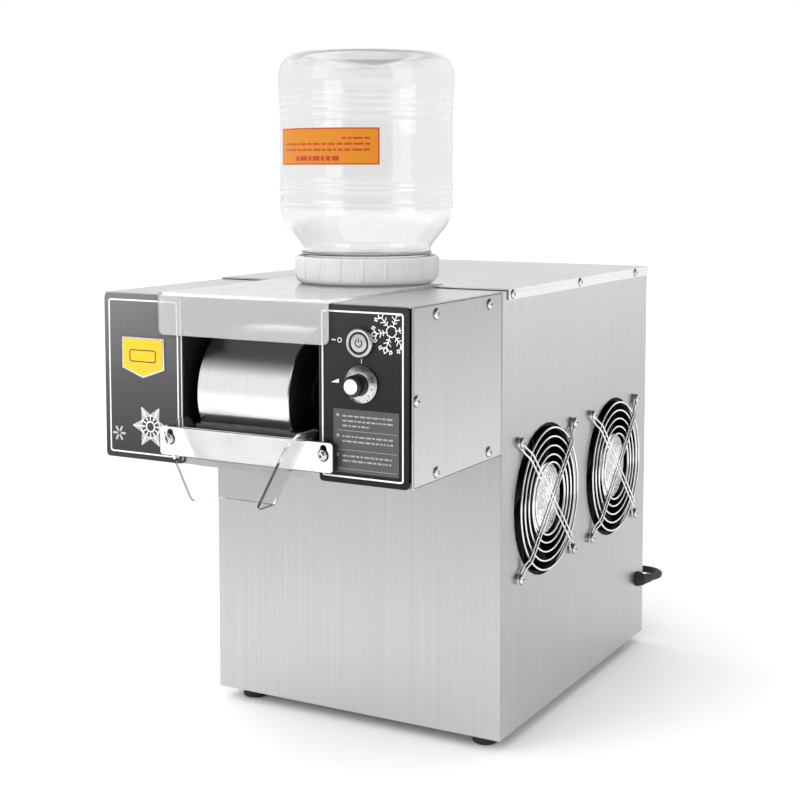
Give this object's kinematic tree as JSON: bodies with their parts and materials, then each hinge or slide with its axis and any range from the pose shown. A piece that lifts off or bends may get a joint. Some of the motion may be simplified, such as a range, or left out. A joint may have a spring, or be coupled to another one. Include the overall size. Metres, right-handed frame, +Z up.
{
  "type": "shaved ice machine",
  "caption": "Countertop shaved ice machine: steel cabinet, overhanging head with a freezing drum, scraper and clear chute, two side fans, and an inverted water jar.",
  "frame": {"origin": "on the surface it stands on, under the middle of the machine's box without its mains lead", "axes": "+X to the machine's right as seen from the front, -Y to the front, +Z up"},
  "size_m": [0.274, 0.5922, 0.5259],
  "materials": {
    "stainless": "brushed, vertical grain",
    "fascia": "gloss printed panel",
    "black_plastic": "satin",
    "rubber": "matt",
    "drum_steel": "ground and polished",
    "wire": "bright plated wire",
    "aluminium": "satin",
    "brass": "machined",
    "copper": "drawn copper tube",
    "black_paint": "semi gloss",
    "white_plastic": "satin",
    "blade_steel": "ground tool steel",
    "clear_acrylic": "clear acrylic sheet",
    "clear_pet": "clear blown PET",
    "frosted_plastic": "translucent moulded plastic",
    "circuit": "solder mask"
  },
  "bodies": {
    "housing": {"base_pan": "stainless", "cabinet_front_panel": "stainless", "cabinet_right_panel": "stainless", "cabinet_left_panel": "stainless", "cabinet_rear_panel": "stainless", "top_cover": "stainless", "head_right_panel": "stainless", "head_left_panel": "stainless", "head_floor": "stainless", "head_deck_left": "stainless", "head_deck_right": "stainless", "fascia_left": "fascia", "fascia_right": "fascia", "evaporator_chamber": "black_plastic", "water_tray": "black_plastic", "front_fan_frame": "black_plastic", "rear_fan_frame": "black_plastic", "foot_front_left": "rubber", "foot_front_right": "rubber", "foot_rear_left": "rubber", "foot_rear_right": "rubber", "strain_relief": "rubber", "power_cord": "rubber", "cord_coil": "rubber", "cord_tail": "rubber", "mains_plug": "rubber", "front_fan_guard": "wire", "rear_fan_guard": "wire", "condenser_fins": "aluminium", "button_housing": "aluminium", "potentiometer_body": "aluminium", "scraper_stud_left": "aluminium", "scraper_stud_right": "aluminium", "refrigerant_rotary_joint": "brass", "condenser_coil": "copper", "suction_pipe": "copper", "liquid_line_with_drier": "copper", "compressor": "black_paint", "gear_motor": "black_paint", "drum_bearing_left": "white_plastic", "drum_bearing_right": "white_plastic", "water_inlet_cup": "white_plastic", "water_hose": "white_plastic", "control_board": "circuit"},
    "drum": {"freezing_drum": "drum_steel", "drum_shaft": "drum_steel", "motor_coupling": "aluminium"},
    "front_fan": {"front_fan_impeller": "black_plastic"},
    "rear_fan": {"rear_fan_impeller": "black_plastic"},
    "power_button": {"power_button": "aluminium"},
    "speed_knob": {"dial_skirt": "aluminium", "speed_knob": "black_plastic", "knob_cap": "white_plastic"},
    "scraper": {"scraper_bar": "white_plastic", "scraper_blade": "blade_steel"},
    "chute": {"ice_chute": "clear_acrylic"},
    "lid": {"lid": "clear_acrylic"},
    "bottle_cap": {"bottle_cap": "frosted_plastic"},
    "bottle": {"water_bottle": "clear_pet"},
    "valve": {"cap_valve_plunger": "white_plastic"}
  },
  "joints": [
    {"name": "drum_spin", "type": "hinge", "parent": "housing", "child": "drum", "pos_m": [-0.0028, -0.15915, 0.278], "axis": [1, 0, 0], "continuous": true},
    {"name": "front_fan_spin", "type": "hinge", "parent": "housing", "child": "front_fan", "pos_m": [0.1102, 0.01165, 0.1795], "axis": [1, 0, 0], "continuous": true},
    {"name": "rear_fan_spin", "type": "hinge", "parent": "housing", "child": "rear_fan", "pos_m": [0.1102, 0.15765, 0.1795], "axis": [1, 0, 0], "continuous": true},
    {"name": "power_button_press", "type": "slide", "parent": "housing", "child": "power_button", "axis": [0, 1, 0], "range_m": [0, 0.0025], "stiffness_N_per_m": 400},
    {"name": "speed_knob_turn", "type": "hinge", "parent": "housing", "child": "speed_knob", "pos_m": [0.0874, -0.21035, 0.2955], "axis": [0, 1, 0], "range_deg": [0, 300]},
    {"name": "scraper_adjust", "type": "slide", "parent": "housing", "child": "scraper", "axis": [0, 0, 1], "range_m": [-0.004, 0]},
    {"name": "chute_lift", "type": "slide", "parent": "scraper", "child": "chute", "axis": [0, 0, 1], "range_m": [0, 0.04]},
    {"name": "lid_lift", "type": "slide", "parent": "housing", "child": "lid", "axis": [0, 0, 1], "range_m": [0, 0.06]},
    {"name": "bottle_lift", "type": "slide", "parent": "lid", "child": "bottle_cap", "axis": [0, 0, 1], "range_m": [0, 0.08]},
    {"name": "bottle_unscrew", "type": "hinge", "parent": "bottle_cap", "child": "bottle", "pos_m": [0.0062, -0.06335, 0.44], "axis": [0, 0, 1], "range_deg": [-270, 0]},
    {"name": "valve_press", "type": "slide", "parent": "bottle_cap", "child": "valve", "axis": [0, 0, 1], "range_m": [0, 0.004], "stiffness_N_per_m": 300}
  ]
}
